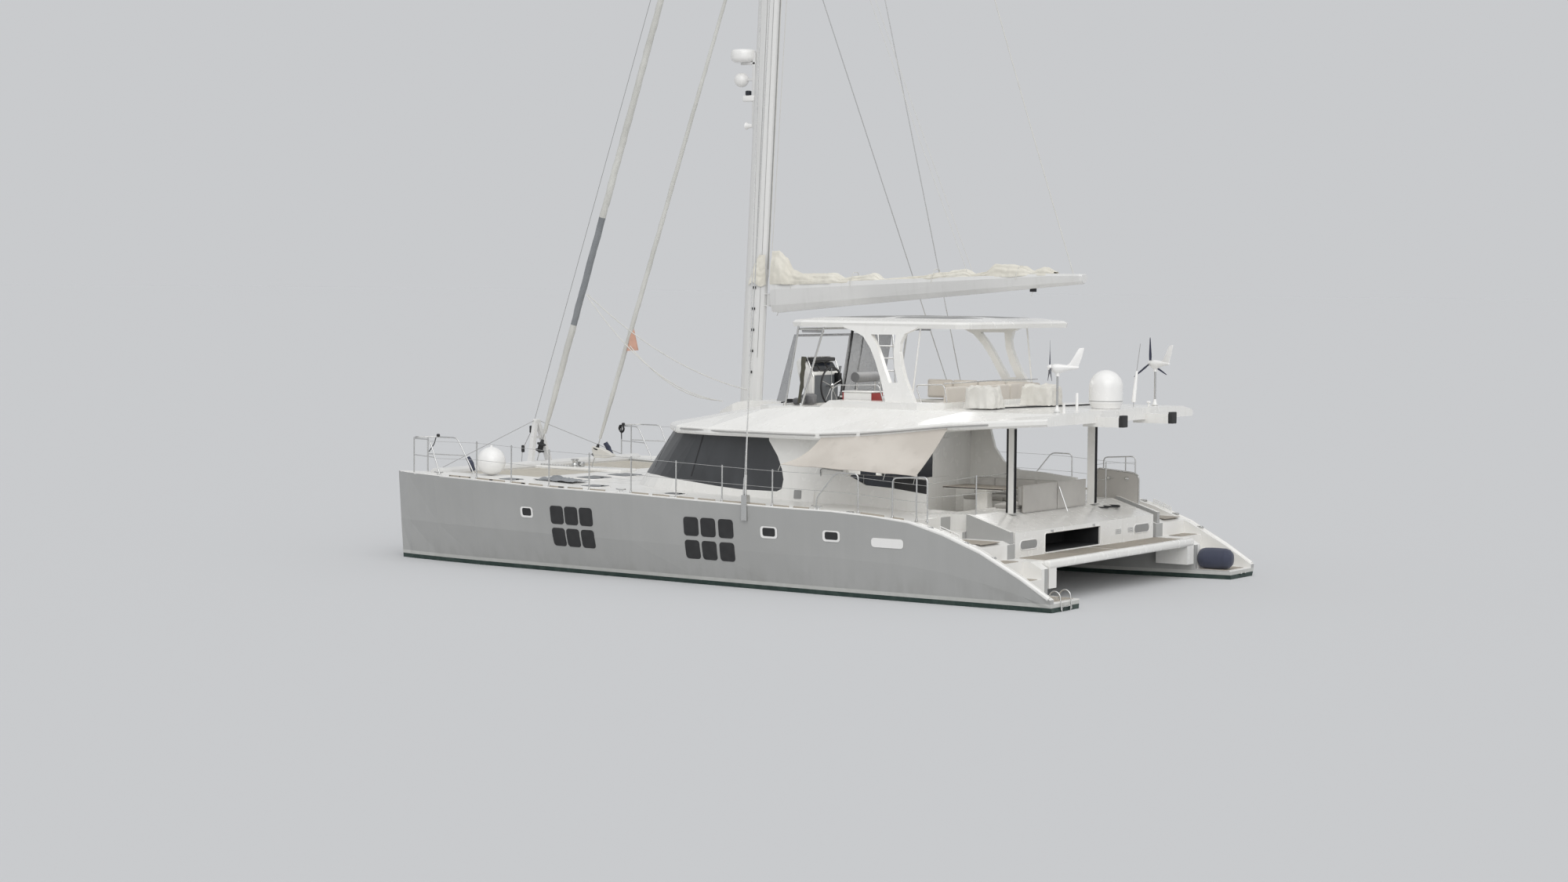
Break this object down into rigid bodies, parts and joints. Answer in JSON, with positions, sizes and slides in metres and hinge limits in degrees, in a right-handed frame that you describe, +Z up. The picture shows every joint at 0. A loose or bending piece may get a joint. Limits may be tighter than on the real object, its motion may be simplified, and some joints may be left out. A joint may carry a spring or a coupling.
{
  "type": "sailing catamaran",
  "caption": "Cruising sailing catamaran with a fly deck and hardtop, raked mast, boom with stowed sail, furled headsails, rudders, propellers and wind turbines.",
  "frame": {"origin": "amidships on the centre line at the water's surface", "axes": "+X towards the bows, +Y to port, +Z up"},
  "size_m": [18.38, 10.07, 29.65],
  "materials": {
    "topsides": "satin silver grey paint",
    "underwater": "matt dark green antifouling",
    "gelcoat": "glossy off-white gelcoat",
    "spar": "satin white painted spar",
    "net": "woven trampoline net",
    "dark_glass": "dark tinted glass",
    "steel": "polished stainless steel",
    "plastic": "white moulded plastic",
    "cushion": "grey-beige outdoor upholstery",
    "canvas": "beige awning canvas",
    "sailcloth": "cream woven sailcloth",
    "teak": "weathered teak",
    "bronze": "bronze",
    "blade": "dark blue turbine blades"
  },
  "bodies": {
    "boat": {"hull_port": "topsides", "hull_starboard": "topsides", "keel_port": "underwater", "keel_starboard": "underwater", "bridgedeck": "gelcoat", "bow_crossbeam": "spar", "catwalk": "gelcoat", "trampoline_port": "net", "trampoline_starboard": "net", "deckhouse": "gelcoat", "saloon_glass": "dark_glass", "flydeck": "gelcoat", "roof_post_port": "steel", "roof_post_starboard": "steel", "satcom_dome": "plastic", "hardtop": "gelcoat", "hardtop_arch_port": "gelcoat", "hardtop_arch_starboard": "gelcoat", "windscreen_frame": "steel", "helm_console": "gelcoat", "helm_seat": "cushion", "lounger_port": "canvas", "lounger_centre": "canvas", "mast": "spar", "genoa_roll": "sailcloth", "staysail_roll": "sailcloth", "shrouds_port": "steel", "shrouds_starboard": "steel", "radar_stack": "plastic", "aft_sofa": "cushion", "cockpit_bench": "cushion", "cockpit_table": "teak", "stern_platform": "gelcoat", "guardrail_port": "steel", "guardrail_starboard": "steel", "saildrive_port": "underwater", "saildrive_starboard": "underwater", "turbine_pole_port": "steel", "turbine_pole_starboard": "steel", "awning": "canvas", "ball_fender": "plastic"},
    "boom": {"boom": "spar", "mainsail_bundle": "sailcloth"},
    "wheel": {"helm_wheel": "steel"},
    "rudder_port": {"rudder_port": "underwater"},
    "rudder_starboard": {"rudder_starboard": "underwater"},
    "propeller_port": {"propeller_port": "bronze"},
    "propeller_starboard": {"propeller_starboard": "bronze"},
    "turbine_head_port": {"turbine_head_port": "plastic"},
    "turbine_head_starboard": {"turbine_head_starboard": "plastic"},
    "turbine_rotor_port": {"turbine_rotor_port": "blade"},
    "turbine_rotor_starboard": {"turbine_rotor_starboard": "blade"},
    "ladder": {"swim_ladder": "steel"},
    "door": {"saloon_door": "dark_glass"}
  },
  "joints": [
    {"name": "boom_swing", "type": "hinge", "parent": "boat", "child": "boom", "pos_m": [1.205, 0, 6.27], "axis": [-0.0476, 0, 0.9989], "range_deg": [-48, 48]},
    {"name": "rudder_port_turn", "type": "hinge", "parent": "boat", "child": "rudder_port", "pos_m": [-8, 4.1, -0.5], "axis": [0, 0, 1], "range_deg": [-35, 35]},
    {"name": "rudder_starboard_turn", "type": "hinge", "parent": "boat", "child": "rudder_starboard", "pos_m": [-8, -4.1, -0.5], "axis": [0, 0, 1], "range_deg": [-35, 35]},
    {"name": "wheel_turn", "type": "hinge", "parent": "boat", "child": "wheel", "pos_m": [-1.3, 1.1, 4.33], "axis": [1, 0, 0], "range_deg": [-350, 350]},
    {"name": "propeller_port_spin", "type": "hinge", "parent": "boat", "child": "propeller_port", "pos_m": [-6, 3.92, -1.15], "axis": [1, 0, 0], "continuous": true},
    {"name": "propeller_starboard_spin", "type": "hinge", "parent": "boat", "child": "propeller_starboard", "pos_m": [-6, -3.92, -1.15], "axis": [1, 0, 0], "continuous": true},
    {"name": "turbine_port_yaw", "type": "hinge", "parent": "boat", "child": "turbine_head_port", "pos_m": [-7.82, 2.28, 4.74], "axis": [0, 0, 1], "continuous": true},
    {"name": "turbine_starboard_yaw", "type": "hinge", "parent": "boat", "child": "turbine_head_starboard", "pos_m": [-7.82, -2.28, 4.74], "axis": [0, 0, 1], "continuous": true},
    {"name": "turbine_port_spin", "type": "hinge", "parent": "turbine_head_port", "child": "turbine_rotor_port", "pos_m": [-7.71223, 2.3527, 4.93], "axis": [0.829, 0.5592, 0], "continuous": true},
    {"name": "turbine_starboard_spin", "type": "hinge", "parent": "turbine_head_starboard", "child": "turbine_rotor_starboard", "pos_m": [-7.69784, -2.32446, 4.93], "axis": [0.9397, -0.342, 0], "continuous": true},
    {"name": "ladder_fold", "type": "hinge", "parent": "boat", "child": "ladder", "pos_m": [-9.15, 4.2, 0.1], "axis": [0, 1, 0], "range_deg": [0, 165]},
    {"name": "door_slide", "type": "slide", "parent": "boat", "child": "door", "axis": [0, 1, 0], "range_m": [0, 1.2]}
  ],
  "couplings": [
    {"joint": "rudder_starboard_turn", "follows": "rudder_port_turn", "ratio": 1},
    {"joint": "wheel_turn", "follows": "rudder_port_turn", "ratio": 10}
  ]
}
